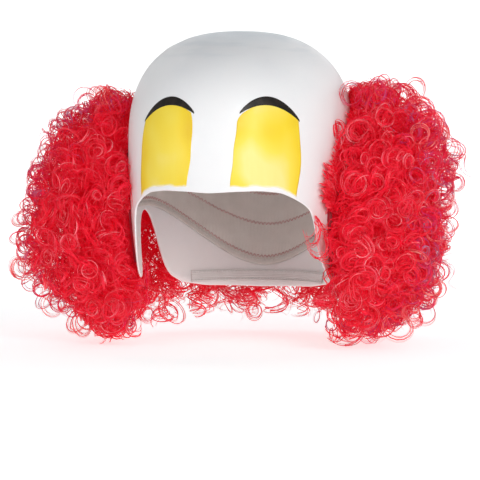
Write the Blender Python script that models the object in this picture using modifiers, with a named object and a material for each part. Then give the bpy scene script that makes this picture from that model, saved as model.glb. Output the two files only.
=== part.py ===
"""Costume wig: a moulded bald cap with painted eye panels and curly hair on sewn wefts.

Frame: +Z up, the face looks along -Y, +X is the wearer's left. The origin is on the head's
axis, level with the cap's brow rim. Angles round the head are in degrees from the front,
positive towards +X, so 90 is the left ear and 180 the middle of the nape.
"""

import math

import bmesh
import bpy
from mathutils import Vector
import numpy as np

MM = 0.001
GAP = 0.3 * MM

# Driving dimensions: the head that the cap is moulded for
HALF_WIDTH = 79 * MM
HALF_LENGTH = 100 * MM
CROWN_Z = 111 * MM
SPRING_Z = 30 * MM          # the dome springs from the upright sides here
DOME_POWER = 2.5            # fullness of the dome's superellipse
NAPE_Z = -74 * MM
NAPE_NARROWING = 0.13       # share of its width that the head loses at the nape
NAPE_TUCK = 0.34            # share of its length that the back of the head loses at the nape

# The cap. The rim runs level over the brows, down to a pointed tab before the ear,
# up over the ear and down to the nape.
WALL = 1.2 * MM
RIM_ANGLES = (0, 12, 25, 36, 43, 50, 55, 58, 62, 68, 74, 79, 84, 88, 92, 98, 104, 109, 113,
              118, 128, 145, 180)
RIM_HEIGHTS = (0, 1, 1.5, 0, -4, -9, -15, -28, -43, -53, -61, -64, -58, -38, -22, -15, -19,
               -34, -54, -64, -70, -73, -74)
CAP_COLUMNS = tuple(range(0, 42, 6)) + tuple(range(42, 122, 4)) + tuple(range(122, 180, 6))
SIDE_ROWS = 6
DOME_ROWS = 10

# Paint films on the forehead: an arched panel under a tapered brow, on each side
PAINT = 0.25 * MM
# Inner and outer angle of each panel, at its foot and at its arch; the brow spans the arch
PANEL_FOOT_ANGLES = {"left": (10.5, 44.2), "right": (11.9, 43.8)}
PANEL_ARCH_ANGLES = {"left": (14.5, 45.8), "right": (8.5, 40.0)}
PANEL_FOOT = 2.6 * MM       # left bare above the rim
ARCH_ENDS = (53.5 * MM, 48 * MM)
ARCH_RISE = 8.3 * MM
BROW_DEPTH = 5.4 * MM
BROW_TIP = 0.5 * MM

# Weft tracks: heights at the side and at the middle of the back, and the start angle
TRACK_ROWS = (
    (62 * MM, 36 * MM, 103), (44 * MM, 14 * MM, 91), (26 * MM, -8 * MM, 81),
    (8 * MM, -30 * MM, 73), (-8 * MM, -54 * MM, 71),
)
TRACK_DROP_ANGLE = 100      # a track starts to run down towards the back here
TRACK_WIDTH = 6 * MM
TRACK_THICKNESS = 1.3 * MM
# Front hairline, from the tab's tip up to the top row
HAIRLINE_HEIGHTS = (-98 * MM, -56 * MM, -40 * MM, -20 * MM, 0, 12 * MM, 27 * MM, 45 * MM, 62 * MM)
HAIRLINE_ANGLES = (78, 75, 70, 67, 66, 69, 77, 87, 99)
EDGE_TRACK_WIDTH = 3.4      # degrees
EDGE_TRACK_SPAN = (-52 * MM, 64 * MM)

# Inside the cap
LINING = 0.6 * MM
INNER_GAP = 0.7 * MM
LINING_MARGIN = 6 * MM
LINING_START = 68
ELASTIC = 1.0 * MM
ELASTIC_SPAN = (134, 226)
ELASTIC_HEIGHTS = (-71.5 * MM, -63.5 * MM)

# Hair. The side masses meet the back mass on a plane across the head, behind the ears.
SPLIT_Y = 46 * MM
SPLIT_GAP = 0.8 * MM
STANDOFF = 2.4 * MM
SIDE_LEVELS = (-98, -64, -31, 2, 36, 74)
BACK_LEVELS = (-98, -64, -30, 5, 42)
LOBE_STEPS = (0, 0.1, 0.25, 0.5, 0.75, 0.9, 1)
LOBE_PULL = 0.10            # how far a bundle's outer face draws in at its top and foot
SIDE_CENTRE = (62 * MM, -2 * MM)
SIDE_REACH_HEIGHTS = (-98, -82, -60, -35, -5, 18, 40, 58, 74)
LEFT_REACH = (104, 128, 142, 146, 150, 153, 144, 127, 98)
RIGHT_REACH = (106, 132, 156, 162, 155, 147, 139, 121, 98)
FRONT_REACH = (40, 57, 65, 67, 62, 55, 38, 16, 8)
SIDE_BACK_REACH = 75 * MM
BACK_REACH_HEIGHTS = (-98, -82, -60, -30, 0, 25, 42)
BACK_HALF_WIDTH = (98, 116, 131, 135, 132, 122, 104)
BACK_DEPTH = (74, 94, 107, 112, 106, 92, 72)
BULGE = 0.8                 # exponent of the masses' rounded plan


def section_scales(height):
    """Width and back length of the head at a height, as shares of their largest values."""
    if height >= SPRING_Z:
        rise = (height - SPRING_Z) / (CROWN_Z - SPRING_Z)
        share = max(0.0, 1 - rise ** DOME_POWER) ** (1 / DOME_POWER)
        return share, share
    drop = min(1.0, (SPRING_Z - height) / (SPRING_Z - NAPE_Z))
    return 1 - NAPE_NARROWING * drop ** 2, 1 - NAPE_TUCK * drop ** 2


def head_point(angle, height):
    """Point on the cap's outer face."""
    turn = math.radians(angle)
    width, back = section_scales(height)
    front = width if height >= SPRING_Z else 1.0
    length = front if math.cos(turn) > 0 else back
    return Vector((HALF_WIDTH * width * math.sin(turn),
                   -HALF_LENGTH * length * math.cos(turn), height))


def off_head(angle, height, out):
    """Point at a distance out from the cap's outer face, along the face's normal."""
    step_angle = 0.5
    step_height = 0.5 * MM
    across = head_point(angle + step_angle, height) - head_point(angle - step_angle, height)
    up = head_point(angle, height + step_height) - head_point(angle, height - step_height)
    return head_point(angle, height) + across.cross(up).normalized() * out


def rim_height(angle):
    """Height of the cap's rim at an angle round the head."""
    turn = abs((angle + 180) % 360 - 180)
    return float(np.interp(turn, RIM_ANGLES, RIM_HEIGHTS)) * MM


def track_height(row, angle):
    """Height of a weft track's middle: level at the side, lower towards the back."""
    side, back, _ = TRACK_ROWS[row]
    turn = abs((angle + 180) % 360 - 180)
    share = min(1.0, max(0.0, (turn - TRACK_DROP_ANGLE) / (180 - TRACK_DROP_ANGLE)))
    return side + (back - side) * (share * share * (3 - 2 * share))


def new_collection(name):
    collection = bpy.data.collections.new(name)
    bpy.context.scene.collection.children.link(collection)
    return collection


def material(name, colour, roughness, sheen=0.0):
    """Principled material with the piece's colour and roughness."""
    made = bpy.data.materials.new(name)
    made.use_nodes = True
    shader = made.node_tree.nodes["Principled BSDF"]
    shader.inputs["Base Color"].default_value = (*colour, 1)
    shader.inputs["Roughness"].default_value = roughness
    shader.inputs["Metallic"].default_value = 0.0
    shader.inputs["Sheen Weight"].default_value = sheen
    return made


def add_object(name, mesh, finish, collection):
    """Object from a bmesh, in the wig's collection, shaded smooth."""
    data = bpy.data.meshes.new(name)
    mesh.to_mesh(data)
    mesh.free()
    data.materials.append(finish)
    data.shade_smooth()
    data.set_sharp_from_angle(angle=math.radians(40))
    made = bpy.data.objects.new(name, data)
    collection.objects.link(made)
    return made


def grid_faces(mesh, rows, closed):
    """Quads between neighbouring rows of vertices, counter-clockwise seen from outside."""
    for low, high in zip(rows, rows[1:]):
        count = len(low)
        for i in range(count if closed else count - 1):
            j = (i + 1) % count
            mesh.faces.new((low[i], low[j], high[j], high[i]))


def solidify(made, thickness, offset):
    """Wall on an open surface: offset -1 grows it inwards and +1 outwards."""
    wall = made.modifiers.new("wall", "SOLIDIFY")
    wall.thickness = thickness
    wall.offset = offset
    wall.use_even_offset = True


def cap_shell(finish, collection):
    """The moulded dome: a skin from the rim up to the crown, with a wall inside it."""
    half = list(CAP_COLUMNS)
    angles = half + [180] + [360 - angle for angle in reversed(half) if angle > 0]
    mesh = bmesh.new()
    rows = []
    for step in range(SIDE_ROWS):
        share = step / SIDE_ROWS
        row = []
        for angle in angles:
            rim = rim_height(angle)
            row.append(mesh.verts.new(head_point(angle, rim + (SPRING_Z - rim) * share)))
        rows.append(row)
    for step in range(DOME_ROWS):
        rise = math.sin(math.pi / 2 * step / DOME_ROWS) ** (2 / DOME_POWER)
        height = SPRING_Z + (CROWN_Z - SPRING_Z) * rise
        rows.append([mesh.verts.new(head_point(angle, height)) for angle in angles])
    grid_faces(mesh, rows, closed=True)
    crown = mesh.verts.new((0, 0, CROWN_Z))
    top = rows[-1]
    for i, vertex in enumerate(top):
        mesh.faces.new((vertex, top[(i + 1) % len(top)], crown))
    made = add_object("cap_shell", mesh, finish, collection)
    solidify(made, WALL, -1)


def patch(name, columns, rows, out, thickness, finish, collection):
    """Thin strip that follows the cap. Each column runs from one (angle, height) to another."""
    mesh = bmesh.new()
    grid = []
    for step in range(rows + 1):
        share = step / rows
        row = []
        for (foot_angle, foot), (head_angle, head) in columns:
            angle = foot_angle + (head_angle - foot_angle) * share
            row.append(mesh.verts.new(off_head(angle, foot + (head - foot) * share, out)))
        grid.append(row)
    grid_faces(mesh, grid, closed=False)
    mesh.normal_update()
    middle = mesh.verts[:][len(mesh.verts) // 2]
    if middle.normal.dot(Vector((middle.co.x, middle.co.y, 0))) < 0:
        bmesh.ops.reverse_faces(mesh, faces=mesh.faces)
    made = add_object(name, mesh, finish, collection)
    solidify(made, thickness, 1)


def arch_height(share):
    """Top of a panel, under its brow, at a share of the way from the inner to the outer tip."""
    ends = ARCH_ENDS[0] + (ARCH_ENDS[1] - ARCH_ENDS[0]) * share
    return ends + ARCH_RISE * 4 * share * (1 - share)


def brow_depth(share):
    """Height of the brow over the arch: full in the middle, drawn out to its tips."""
    return BROW_TIP + (BROW_DEPTH - BROW_TIP) * (4 * share * (1 - share)) ** 0.8


def eye_paint(side, label, yellow, black, collection):
    """Arched panel down to the rim, and the brow over it."""
    panel, brow = [], []
    for share in np.linspace(0, 1, 15):
        foot_angle = side * float(np.interp(share, (0, 1), PANEL_FOOT_ANGLES[label]))
        arch_angle = side * float(np.interp(share, (0, 1), PANEL_ARCH_ANGLES[label]))
        arch = arch_height(share)
        foot = rim_height(foot_angle) + PANEL_FOOT
        panel.append(((foot_angle, foot), (arch_angle, arch - GAP)))
        brow.append(((arch_angle, arch), (arch_angle, arch + brow_depth(share))))
    patch(f"eye_panel_{label}", panel, 5, GAP, PAINT, yellow, collection)
    patch(f"brow_arc_{label}", brow, 2, GAP, PAINT, black, collection)


def weft_tracks(finish, collection):
    """Sewn strips from temple to temple round the back, that carry the hair."""
    for row, (_, _, start) in enumerate(TRACK_ROWS):
        columns = []
        for angle in np.linspace(start, 360 - start, 2 * round((180 - start) / 5) + 1):
            middle = track_height(row, angle)
            columns.append(((angle, middle - TRACK_WIDTH / 2), (angle, middle + TRACK_WIDTH / 2)))
        patch(f"weft_track_{row + 1}", columns, 1, GAP, TRACK_THICKNESS, finish, collection)


def edge_track(side, label, finish, collection):
    """Strip down the front hairline, that closes the ends of the wefts."""
    columns = []
    for height in np.linspace(*EDGE_TRACK_SPAN, 19):
        middle = float(np.interp(height, HAIRLINE_HEIGHTS, HAIRLINE_ANGLES))
        columns.append(((side * (middle - EDGE_TRACK_WIDTH / 2), height),
                        (side * (middle + EDGE_TRACK_WIDTH / 2), height)))
    patch(f"edge_track_{label}", columns, 1, GAP, TRACK_THICKNESS, finish, collection)


def cap_inside(cotton, elastic, collection):
    """Lining band that the weft stitches go through, and the elastic inside the nape."""
    columns = [((angle, track_height(4, angle) - LINING_MARGIN),
                (angle, track_height(0, angle) + LINING_MARGIN))
               for angle in np.linspace(LINING_START, 360 - LINING_START, 61)]
    patch("lining_band", columns, 9, -(WALL + INNER_GAP + LINING), LINING, cotton, collection)
    low, high = ELASTIC_HEIGHTS
    columns = [((angle, low), (angle, high)) for angle in np.linspace(*ELASTIC_SPAN, 21)]
    patch("nape_elastic", columns, 1, -(WALL + INNER_GAP + ELASTIC), ELASTIC, elastic,
          collection)


def angle_at_split(height, offset):
    """Angle at which the hair's inner face, off the cap, meets the split plane."""
    low, high = 90.0, 179.0
    for _ in range(40):
        middle = (low + high) / 2
        if off_head(middle, height, STANDOFF).y < SPLIT_Y + offset:
            low = middle
        else:
            high = middle
    return (low + high) / 2


def rounded(turn):
    """Unit superellipse point at a turn in radians from the front: outwards, backwards."""
    out = abs(math.sin(turn)) ** BULGE
    back = -math.copysign(abs(math.cos(turn)) ** BULGE, math.cos(turn))
    return out, back


def side_section(height, pull, reaches):
    """Closed plan outline of the left mass at a height: inner face, then outer face."""
    level = height / MM
    front = float(np.interp(height, HAIRLINE_HEIGHTS, HAIRLINE_ANGLES))
    back = angle_at_split(height, -SPLIT_GAP / 2)
    inner = [off_head(a, height, STANDOFF) for a in np.linspace(front, back, 10)]
    centre_x, centre_y = SIDE_CENTRE
    across = float(np.interp(level, SIDE_REACH_HEIGHTS, reaches)) * MM - centre_x
    forward = float(np.interp(level, SIDE_REACH_HEIGHTS, FRONT_REACH)) * MM
    cut = (SPLIT_Y - SPLIT_GAP / 2 - centre_y) / SIDE_BACK_REACH / pull
    last = math.pi - math.acos(min(0.98, cut) ** (1 / BULGE))
    outer = []
    for turn in np.linspace(last, math.radians(14), 13):
        out, along = rounded(turn)
        reach = SIDE_BACK_REACH if along > 0 else forward
        outer.append(Vector((centre_x + across * pull * out,
                             min(centre_y + reach * pull * along, SPLIT_Y - SPLIT_GAP / 2),
                             height)))
    return inner + outer


def back_section(height, pull, _):
    """Closed plan outline of the back mass at a height: inner face, then outer face."""
    level = height / MM
    start = angle_at_split(height, SPLIT_GAP / 2)
    inner = [off_head(a, height, STANDOFF) for a in np.linspace(start, 360 - start, 21)]
    half = float(np.interp(level, BACK_REACH_HEIGHTS, BACK_HALF_WIDTH)) * MM
    depth = float(np.interp(level, BACK_REACH_HEIGHTS, BACK_DEPTH)) * MM
    outer = []
    for turn in np.linspace(-math.pi / 2, math.pi / 2, 21):
        across, along = math.sin(turn), math.cos(turn) ** BULGE
        outer.append(Vector((half * pull * math.copysign(abs(across) ** BULGE, across),
                             SPLIT_Y + SPLIT_GAP / 2 + depth * pull * along, height)))
    return inner + outer


def hair_bundle(name, section, low, high, reaches, mirror, finish, collection):
    """Soft lobe of curls between two heights: a loft of plan outlines, closed at both ends."""
    mesh = bmesh.new()
    rows = []
    for share in LOBE_STEPS:
        pull = 1 - LOBE_PULL * abs(2 * share - 1) ** 4
        height = low + (high - low) * share
        points = section(height, pull, reaches)
        rows.append([mesh.verts.new((mirror * p.x, p.y, p.z)) for p in points])
    grid_faces(mesh, rows, closed=True)
    mesh.faces.new(rows[0])
    mesh.faces.new(rows[-1])
    bmesh.ops.recalc_face_normals(mesh, faces=mesh.faces)
    bmesh.ops.triangulate(mesh, faces=mesh.faces)
    add_object(name, mesh, finish, collection)


def hair_masses(finish, collection):
    """Bundles of the two side masses and of the back mass, numbered from the top."""
    for label, mirror, reaches in (("left", 1, LEFT_REACH), ("right", -1, RIGHT_REACH)):
        count = len(SIDE_LEVELS) - 1
        for i in range(count):
            hair_bundle(f"hair_{label}_{count - i}", side_section, SIDE_LEVELS[i] * MM,
                        SIDE_LEVELS[i + 1] * MM - GAP, reaches, mirror, finish, collection)
    count = len(BACK_LEVELS) - 1
    for i in range(count):
        hair_bundle(f"hair_back_{count - i}", back_section, BACK_LEVELS[i] * MM,
                    BACK_LEVELS[i + 1] * MM - GAP, None, 1, finish, collection)


def main():
    for old in list(bpy.data.objects):
        bpy.data.objects.remove(old)
    wig = new_collection("costume_wig")
    latex = material("white_latex", (0.88, 0.87, 0.87), 0.42)
    yellow = material("yellow_paint", (0.92, 0.69, 0.08), 0.45)
    black = material("black_paint", (0.03, 0.025, 0.025), 0.4)
    webbing = material("weft_webbing", (0.45, 0.01, 0.03), 0.85)
    cotton = material("cotton_lining", (0.78, 0.75, 0.7), 0.9)
    elastic = material("nape_elastic", (0.85, 0.84, 0.82), 0.8)
    hair = material("red_hair", (0.78, 0.005, 0.03), 0.5, sheen=0.3)

    cap_shell(latex, wig)
    weft_tracks(webbing, wig)
    for side, label in ((1, "left"), (-1, "right")):
        eye_paint(side, label, yellow, black, wig)
        edge_track(side, label, webbing, wig)
    cap_inside(cotton, elastic, wig)
    hair_masses(hair, wig)


main()
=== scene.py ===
"""Looks of the costume wig: moulded latex cap, brushed paint, sewn wefts and curled hair.

Metres, in the frame of the CAD model: +Z up, the face looks along -Y, +X is the wearer's left.
Angles round the head are in degrees from the front, so 90 is the left ear and 180 the nape.
"""

import math

import bpy
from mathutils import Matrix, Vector
import numpy as np


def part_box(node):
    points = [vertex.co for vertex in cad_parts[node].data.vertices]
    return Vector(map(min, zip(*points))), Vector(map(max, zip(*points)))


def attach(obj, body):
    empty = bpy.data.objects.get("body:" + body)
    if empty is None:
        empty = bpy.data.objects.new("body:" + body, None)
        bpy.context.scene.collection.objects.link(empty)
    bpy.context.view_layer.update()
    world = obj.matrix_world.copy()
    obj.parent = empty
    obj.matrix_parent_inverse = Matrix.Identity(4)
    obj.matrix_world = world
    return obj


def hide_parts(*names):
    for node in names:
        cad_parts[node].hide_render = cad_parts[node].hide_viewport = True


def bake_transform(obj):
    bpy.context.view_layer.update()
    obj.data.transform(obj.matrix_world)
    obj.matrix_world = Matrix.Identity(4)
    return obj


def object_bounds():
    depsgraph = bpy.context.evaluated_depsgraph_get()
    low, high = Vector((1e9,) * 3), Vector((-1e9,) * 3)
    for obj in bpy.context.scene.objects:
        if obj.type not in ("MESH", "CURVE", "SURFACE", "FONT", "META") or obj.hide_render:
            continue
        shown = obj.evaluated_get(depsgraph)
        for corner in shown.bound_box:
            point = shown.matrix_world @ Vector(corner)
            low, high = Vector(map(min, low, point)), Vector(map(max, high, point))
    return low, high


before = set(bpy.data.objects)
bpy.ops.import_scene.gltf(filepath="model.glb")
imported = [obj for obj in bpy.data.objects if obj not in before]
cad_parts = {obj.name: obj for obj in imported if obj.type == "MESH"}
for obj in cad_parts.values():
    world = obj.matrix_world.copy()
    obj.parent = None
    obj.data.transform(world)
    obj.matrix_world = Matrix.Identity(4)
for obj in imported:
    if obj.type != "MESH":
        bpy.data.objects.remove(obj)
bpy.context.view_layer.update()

MM = 0.001
TAU = 2 * math.pi
random = np.random.default_rng(11)
uniform, gauss = random.uniform, random.normal


def mm_from(low, high):
    """A random length, from a number of millimetres up to another."""
    return uniform(low, high) * MM


# The head that the cap is moulded for, from the cap's own box
CAP_LOW, CAP_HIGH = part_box("cap_shell")
HALF_WIDTH = CAP_HIGH.x
HALF_LENGTH = -CAP_LOW.y
CROWN_Z = CAP_HIGH.z
SPRING_Z = 30 * MM
DOME_POWER = 2.5
NAPE_Z = CAP_LOW.z
NAPE_NARROWING = 0.13
NAPE_TUCK = 0.34
WALL = 1.2 * MM
RIM_ANGLES = (0, 12, 25, 36, 43, 50, 55, 58, 62, 68, 74, 79, 84, 88, 92, 98, 104, 109, 113,
              118, 128, 145, 180)
RIM_HEIGHTS = (0, 1, 1.5, 0, -4, -9, -15, -28, -43, -53, -61, -64, -58, -38, -22, -15, -19,
               -34, -54, -64, -70, -73, -74)
# Weft tracks: height at the sides, height at the nape and the angle of their front end
TRACK_ROWS = ((62, 36, 103), (44, 14, 91), (26, -8, 81), (8, -30, 73), (-8, -54, 71))
TRACK_DROP_ANGLE = 100
HAIRLINE_HEIGHTS = (-98, -56, -40, -20, 0, 12, 27, 45, 62)
HAIRLINE_ANGLES = (78, 75, 70, 67, 66, 69, 77, 87, 99)

# Hair masses: plan outlines by height, as in the CAD model
SPLIT_Y = 46 * MM
SIDE_CENTRE = (62 * MM, -2 * MM)
SIDE_REACH_HEIGHTS = (-98, -82, -60, -35, -5, 18, 40, 58, 74)
SIDE_REACH = {
    1: (104, 128, 142, 146, 150, 153, 144, 127, 98),
    -1: (106, 132, 156, 162, 155, 147, 139, 121, 98),
}
FRONT_REACH = (40, 57, 65, 67, 62, 55, 38, 16, 8)
SIDE_BACK_REACH = 75 * MM
BACK_REACH_HEIGHTS = (-98, -82, -60, -30, 0, 25, 42)
BACK_HALF_WIDTH = (98, 116, 131, 135, 132, 122, 104)
BACK_DEPTH = (74, 94, 107, 112, 106, 92, 72)
BULGE = 0.8
SIDE_NAMES = {1: "left", -1: "right"}


# Head surface

def section_scales(height):
    """Width and back length of the head at heights, as shares of their largest values."""
    rise = np.clip((height - SPRING_Z) / (CROWN_Z - SPRING_Z), 0, 1)
    dome = (1 - rise ** DOME_POWER) ** (1 / DOME_POWER)
    drop = np.clip((SPRING_Z - height) / (SPRING_Z - NAPE_Z), 0, 1)
    return dome * (1 - NAPE_NARROWING * drop ** 2), dome * (1 - NAPE_TUCK * drop ** 2), dome


def head_surface(angle, height):
    """Points on the cap's outer face, as an array whose last axis is x, y, z."""
    angle, height = np.broadcast_arrays(np.asarray(angle, float), np.asarray(height, float))
    turn = np.radians(angle)
    width, back, front = section_scales(height)
    length = np.where(np.cos(turn) > 0, front, back)
    return np.stack([HALF_WIDTH * width * np.sin(turn),
                     -HALF_LENGTH * length * np.cos(turn), height], axis=-1)


def unit(vectors):
    """Vectors scaled to length one."""
    size = np.linalg.norm(vectors, axis=-1, keepdims=True)
    return vectors / np.maximum(size, 1e-9)


def head_normal(angle, height):
    """Outward normals of the cap's outer face."""
    across = head_surface(angle + 0.5, height) - head_surface(angle - 0.5, height)
    step = 0.5 * MM
    up = head_surface(angle, height + step) - head_surface(angle, height - step)
    return unit(np.cross(across, up))


def off_head(angle, height, out):
    """Points at a distance out from the cap's outer face."""
    angle, height = np.asarray(angle, float), np.asarray(height, float)
    return head_surface(angle, height) + head_normal(angle, height) * np.asarray(out)[..., None]


def rooted(angle, height, out=0.9 * MM):
    """Root point of hair on the cap, and the outward normal there."""
    return off_head(angle, height, out), head_normal(angle, height)


def folded(angle):
    """Angle round the head folded into 0 to 180."""
    return np.abs((np.asarray(angle, float) + 180) % 360 - 180)


def rim_height(angle):
    """Height of the cap's rim, its corners rounded."""
    steps = np.linspace(-2.4, 2.4, 7)
    values = [np.interp(folded(angle + step), RIM_ANGLES, RIM_HEIGHTS) for step in steps]
    return np.mean(values, axis=0) * MM


def track_height(row, angle):
    """Height of the middle of a weft track."""
    side, back, _ = TRACK_ROWS[row]
    share = np.clip((folded(angle) - TRACK_DROP_ANGLE) / (180 - TRACK_DROP_ANGLE), 0, 1)
    return (side + (back - side) * share * share * (3 - 2 * share)) * MM


def hairline(height):
    """Angle of the front hairline at a height."""
    return np.interp(np.asarray(height) / MM, HAIRLINE_HEIGHTS, HAIRLINE_ANGLES)


# Node materials

def feed(tree, inputs, values):
    """Link inputs to sockets, or set them to numbers, vectors or colours."""
    for key, value in values.items():
        if isinstance(value, bpy.types.NodeSocket):
            tree.links.new(value, inputs[key])
        elif inputs[key].type == "RGBA":
            inputs[key].default_value = (*value, 1)
        else:
            inputs[key].default_value = value


def node(tree, kind, values, **settings):
    """Outputs of a new shader node."""
    made = tree.nodes.new("ShaderNode" + kind)
    for name, setting in settings.items():
        setattr(made, name, setting)
    feed(tree, made.inputs, values)
    return made.outputs


def new_material(name, roughness, specular):
    """A material, its node tree and the inputs of its shader."""
    made = bpy.data.materials.new(name)
    made.use_nodes = True
    inputs = made.node_tree.nodes["Principled BSDF"].inputs
    feed(made.node_tree, inputs, {"Roughness": roughness, "Specular IOR Level": specular})
    return made, made.node_tree, inputs


def object_place(tree):
    return node(tree, "TexCoord", {})["Object"]


def stretched(tree, scale):
    """Object coordinates, scaled by a factor for each axis."""
    return node(tree, "Mapping", {"Vector": object_place(tree), "Scale": scale})["Vector"]


def split(tree, vector):
    """X, Y and Z of a vector."""
    return node(tree, "SeparateXYZ", {0: vector})


def noise(tree, scale, detail=3.0, vector=None, roughness=0.55):
    return node(tree, "TexNoise", {"Scale": scale, "Detail": detail, "Roughness": roughness,
                                   "Vector": vector or object_place(tree)})["Fac"]


def ramp(tree, factor, stops, interpolation="LINEAR"):
    """Colour ramp over (position, colour) stops."""
    made = tree.nodes.new("ShaderNodeValToRGB")
    made.color_ramp.interpolation = interpolation
    elements = made.color_ramp.elements
    while len(elements) < len(stops):
        elements.new(1.0)
    for element, (position, colour) in zip(elements, stops):
        element.position = position
        element.color = (*colour, 1)
    tree.links.new(factor, made.inputs["Fac"])
    return made.outputs["Color"]


def mix(tree, factor, first, second):
    return node(tree, "Mix", {0: factor, 6: first, 7: second}, data_type="RGBA")[2]


def maths(tree, operation, first, second=0.0):
    return node(tree, "Math", {0: first, 1: second}, operation=operation)[0]


def map_range(tree, value, low, high, to_low=0.0, to_high=1.0):
    """Smooth step from to_low to to_high as the value goes from low to high."""
    return node(tree, "MapRange", {"Value": value, "From Min": low, "From Max": high,
                                   "To Min": to_low, "To Max": to_high},
                interpolation_type="SMOOTHSTEP")["Result"]


def bump(tree, inputs, height, distance, strength):
    feed(tree, inputs, {"Normal": node(tree, "Bump", {
        "Height": height, "Distance": distance, "Strength": strength})["Normal"]})


def latex_material():
    """White moulded latex: cloudy tint, painted shade as blue-grey streaks in faint creases near
    the top, a painted cool grey shade towards the crown, a warmer rim, satin patches and fine
    skin texture."""
    made, tree, inputs = new_material("white_latex", 0.42, 0.42)
    height = split(tree, object_place(tree))["Z"]
    colour = ramp(tree, noise(tree, 26, 4), ((0.30, (0.845, 0.842, 0.85)),
                                             (0.52, (0.872, 0.866, 0.868)),
                                             (0.75, (0.89, 0.882, 0.878))))
    # Painted shade: blue-grey streaks where faint creases lie near the top of the cap
    crease_streaks = map_range(tree, noise(tree, 1.0, 2, stretched(tree, (24, 24, 190))), 0.46, 0.72)
    crease_shade = maths(tree, "MULTIPLY", crease_streaks, map_range(tree, height, 0.080, 0.102, 0.0, 0.32))
    for factor, tone in (
            (crease_shade, (0.64, 0.68, 0.72)),
            # Painted shade: a cool blue-grey over the top of the crown, where less light falls
            (map_range(tree, height, 0.098, 0.110, 0.0, 0.45), (0.70, 0.78, 0.84)),
            (map_range(tree, height, -0.070, -0.010, 0.25, 0.0), (0.86, 0.80, 0.74))):
        colour = mix(tree, factor, colour, tone)
    feed(tree, inputs, {
        "Base Color": colour,
        "Roughness": map_range(tree, noise(tree, 60, 3), 0.3, 0.7, 0.36, 0.50),
        "Subsurface Weight": 0.08,
        "Subsurface Radius": (0.004, 0.003, 0.003)})
    skin = maths(tree, "ADD", noise(tree, 900, 2),
                 maths(tree, "MULTIPLY", noise(tree, 140, 3), 1.6))
    bump(tree, inputs, skin, 0.00010, 0.55)
    return made


def yellow_material():
    """Yellow latex paint, brushed on: pale patches, deeper yellow towards the side edges, paler
    towards the foot, worn at the rim. The sheet map's u runs across the film and its v up it."""
    made, tree, inputs = new_material("yellow_paint", 0.40, 0.45)
    sheet = split(tree, node(tree, "UVMap", {}, uv_map=SHEET_UV)["UV"])
    from_middle = maths(tree, "ABSOLUTE", maths(tree, "SUBTRACT", sheet["X"], 0.5))
    cloud = maths(tree, "MULTIPLY", noise(tree, 30, 1.5, roughness=0.4), 0.75)
    cloud = maths(tree, "ADD", cloud, 0.125)
    cloud = maths(tree, "SUBTRACT", cloud, map_range(tree, from_middle, 0.22, 0.50, 0.0, 0.16))
    cloud = maths(tree, "ADD", cloud, map_range(tree, sheet["Y"], 0.15, 0.75, 0.10, 0.0))
    patches = ramp(tree, cloud, ((0.26, (0.83, 0.55, 0.012)), (0.42, (0.92, 0.67, 0.022)),
                                 (0.56, (0.94, 0.74, 0.075)), (0.70, (0.95, 0.81, 0.270))))
    strokes = noise(tree, 1.0, 2, stretched(tree, (420, 420, 36)))
    streaked = mix(tree, maths(tree, "MULTIPLY", strokes, 0.16), patches, (0.90, 0.60, 0.03))
    worn = maths(tree, "ADD", sheet["Y"], maths(tree, "MULTIPLY", noise(tree, 130, 2), -0.05))
    fade = map_range(tree, worn, -0.030, 0.012, 0.85, 0.0)
    feed(tree, inputs, {
        "Base Color": mix(tree, fade, streaked, (0.89, 0.86, 0.80)),
        "Roughness": map_range(tree, noise(tree, 70, 3), 0.3, 0.7, 0.32, 0.50)})
    bump(tree, inputs, maths(tree, "ADD", strokes, noise(tree, 700, 2)), 0.00008, 0.5)
    return made


def black_material():
    """Black latex paint, one coat, with faint brush lines."""
    made, tree, inputs = new_material("black_paint", 0.46, 0.32)
    feed(tree, inputs, {
        "Base Color": ramp(tree, noise(tree, 180, 3), ((0.35, (0.005, 0.003, 0.002)),
                                                       (0.7, (0.028, 0.018, 0.012)))),
        "Roughness": map_range(tree, noise(tree, 120, 2), 0.3, 0.7, 0.32, 0.48)})
    bump(tree, inputs, noise(tree, 800, 2), 0.00008, 0.5)
    return made


def woven_material(name, light, dark, threads, roughness=0.9):
    """Woven cloth: crossed threads as bump and shade, over a cloudy base."""
    made, tree, inputs = new_material(name, roughness, 0.25)
    place = split(tree, object_place(tree))
    round_head = maths(tree, "ARCTAN2", place["X"], place["Y"])
    warp, weft = (
        maths(tree, "ABSOLUTE", maths(tree, "SINE", maths(tree, "MULTIPLY", along, count)))
        for along, count in ((round_head, threads * HALF_LENGTH), (place["Z"], threads)))
    weave = maths(tree, "MULTIPLY", warp, weft)
    shade = maths(tree, "ADD", maths(tree, "MULTIPLY", weave, 0.6),
                  maths(tree, "MULTIPLY", noise(tree, 90, 3), 0.4))
    feed(tree, inputs, {"Base Color": ramp(tree, shade, ((0.15, dark), (0.75, light))),
                        "Sheen Weight": 0.25})
    bump(tree, inputs, weave, 0.0002, 0.6)
    return made


def thread_material(name, colour):
    """Spun thread: fine twisted shade along its length."""
    made, tree, inputs = new_material(name, 0.75, 0.3)
    dark = tuple(channel * 0.55 for channel in colour)
    feed(tree, inputs, {
        "Base Color": ramp(tree, noise(tree, 1500, 2), ((0.35, dark), (0.65, colour)))})
    return made
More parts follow.
